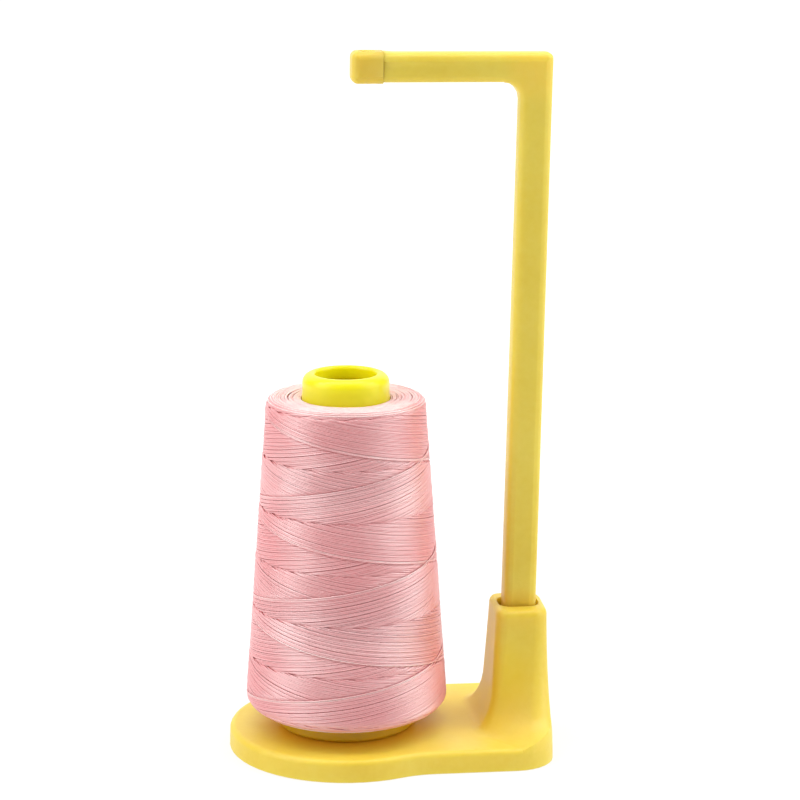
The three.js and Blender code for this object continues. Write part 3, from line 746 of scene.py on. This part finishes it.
# %% Finish of the thread
def thread_finish(name, direction, pale=0.0):
    """Direction is -1 on falling threads, 1 on rising ones and 0 where the thread runs round."""
    finish = Finish(name, IOR=2.3, Specular_IOR_Level=1.0, Specular_Tint=(0.85, 1.0, 0.98, 1))
    x, y, z = finish.axes()
    across = x - spool_x
    turn = finish.node("ShaderNodeMath", {"operation": "ARCTAN2"}, {0: y, 1: across}) / (2 * math.pi) + 0.25
    level = z * (1 / (helix_rise * MM))
    start = (newest_falling if direction < 0 else newest_rising) / helix_rise
    if direction < 0:
        lane = start - level - turn
    elif direction > 0:
        lane = level - turn - start
    else:
        lane = finish.distance((0, 0, 0)) * 60  # it only has to change slowly
    tone = finish.noise(threads_in_family * 0.9, detail=1, at=lane, dimensions="1D")
    patch = finish.noise(60, detail=3, rough=0.6)
    fibre = finish.noise(2600, rough=0.7)
    # Painted highlight: the newest turns, which stand proud, are made paler. Pale adds a painted sheen, used
    # on the end faces.
    newest = finish.node("ShaderNodeMath", {"operation": "FRACT"}, {0: lane}) > 1 - newest_share
    mixed = tone * 0.3 + patch * 0.35 + fibre * 0.35 + newest * 0.17 + pale
    tint = finish.ramp(
        mixed,
        [
            (0.28, colour(241, 132, 137)),
            (0.45, colour(248, 149, 153)),
            (0.62, colour(250, 167, 169)),
            (0.8, colour(252, 209, 205)),
        ],
    )
    finish.set(
        Base_Color=tint,
        Roughness=finish.between(fibre, 0.3, 0.42),
        Normal=finish.bump(fibre, 0.00012, 0.5),
    )
    return finish.material


bulk_material = thread_finish("shaded_thread_finish", 0)
falling_material = thread_finish("falling_thread_finish", -1)
rising_material = thread_finish("rising_thread_finish", 1)
# The end faces get a painted sheen that makes them paler.
face_material = thread_finish("sheen_painted_thread_finish", 0, 0.24)

for piece, material, node in (
    (thread_bulk, bulk_material, "thread_package"),
    (falling_turns, falling_material, "outer_thread_turns"),
    (rising_turns, rising_material, "outer_thread_turns"),
    (top_face_rings, face_material, "thread_package"),
    (foot_face_rings, face_material, "thread_package"),
    (shoulder_turns, face_material, "outer_thread_turns"),
):
    piece.data.materials.clear()
    piece.data.materials.append(material)
    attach(piece, "spool")
    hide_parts(node)
    print(piece.name, "wears", material.name)

# %% [markdown]
# The studio is a broad floor, a pale room all round and four large soft lamps: one at each side, a long one
# overhead and one behind, for the rim of the cone. The floor has a painted glow: it gives off light of its
# own, like white paper under lamps, and so lights the object from below, with a darker strip in front, which
# shows as a darker line up the middle of the thread. The camera itself sees the floor and the wall as plain
# white.

# %% Floor and lights
def lay_floor():
    bpy.ops.object.select_all(action="DESELECT")
    bpy.ops.mesh.primitive_plane_add(size=30, location=(0, 0, -0.0002))
    floor = bpy.context.object
    floor.name = "studio_floor"
    finish = Finish("studio_floor_finish", Specular_IOR_Level=0.0, Roughness=1.0, Emission_Strength=1.0)
    shade = finish.noise(2)
    finish.set(Base_Color=finish.mix(shade, (0.24, 0.24, 0.24, 1), (0.28, 0.28, 0.28, 1)))
    # Painted glow: the floor gives off light of its own, less near the middle and least in a strip in front,
    # while the camera sees it plain white.
    black, white = (0, 0, 0), (1, 1, 1)
    from_front = {"Value": finish.axes()[1], "From Min": -3, "From Max": 0}
    along = finish.node("ShaderNodeMapRange", {}, from_front)
    strip = finish.ramp(along, [(0.2, black), (0.6, white), (0.8, white), (0.97, black)], "EASE")
    away = finish.distance((0, 0, 0))
    outwards = {"Value": away, "From Min": 0.1, "From Max": 0.6, "To Min": 0.72, "To Max": 0.97}
    lit = finish.node("ShaderNodeMapRange", {}, outwards)
    bright = finish.mix(lit, (*black, 1), (*white, 1))
    seen = finish.node("ShaderNodeLightPath", output="Is Camera Ray")
    finish.set(Emission_Color=finish.mix(strip * (1 - seen), bright, (0.4, 0.4, 0.4, 1)))
    floor.data.materials.append(finish.material)


def hang_lamp(name, place, target, size, power):
    bpy.ops.object.select_all(action="DESELECT")
    bpy.ops.object.light_add(type="AREA", location=place)
    lamp = bpy.context.object
    lamp.name = name
    lamp.data.shape = "RECTANGLE"
    lamp.data.size, lamp.data.size_y = size
    lamp.data.energy = power
    lamp.visible_camera = False
    lamp.rotation_euler = (Vector(target) - Vector(place)).to_track_quat("-Z", "Y").to_euler()
    print(name, "of", power, "watts")


def light_room(strength):
    world = bpy.data.worlds.new("pale_room")
    bpy.context.scene.world = world
    world.use_nodes = True
    tree = world.node_tree
    glow = tree.nodes["Background"]
    glow.inputs[0].default_value = (1, 1, 1, 1)
    glow.inputs[1].default_value = strength
    wall = tree.nodes.new("ShaderNodeBackground")
    wall.inputs[0].default_value = (1, 1, 1, 1)
    seen = tree.nodes.new("ShaderNodeLightPath").outputs["Is Camera Ray"]
    pick = tree.nodes.new("ShaderNodeMixShader")
    for number, socket in enumerate((seen, glow.outputs[0], wall.outputs[0])):
        tree.links.new(socket, pick.inputs[number])
    tree.links.new(pick.outputs[0], tree.nodes["World Output"].inputs[0])


lay_floor()
light_room(0.33)
hang_lamp("left_softbox", (-1.4, -0.4, 0.75), (0, 0, 0.15), (1.2, 1.4), 10.8)
hang_lamp("right_softbox", (1.4, -0.4, 0.75), (0, 0, 0.15), (1.2, 1.4), 11.3)
hang_lamp("top_softbox", (0.0, 0.1, 2.0), (0, 0, 0.05), (4.6, 1.0), 55)
hang_lamp("backdrop", (0.0, 1.7, 0.95), (0, 0, 0.1), (3.2, 1.8), 16)
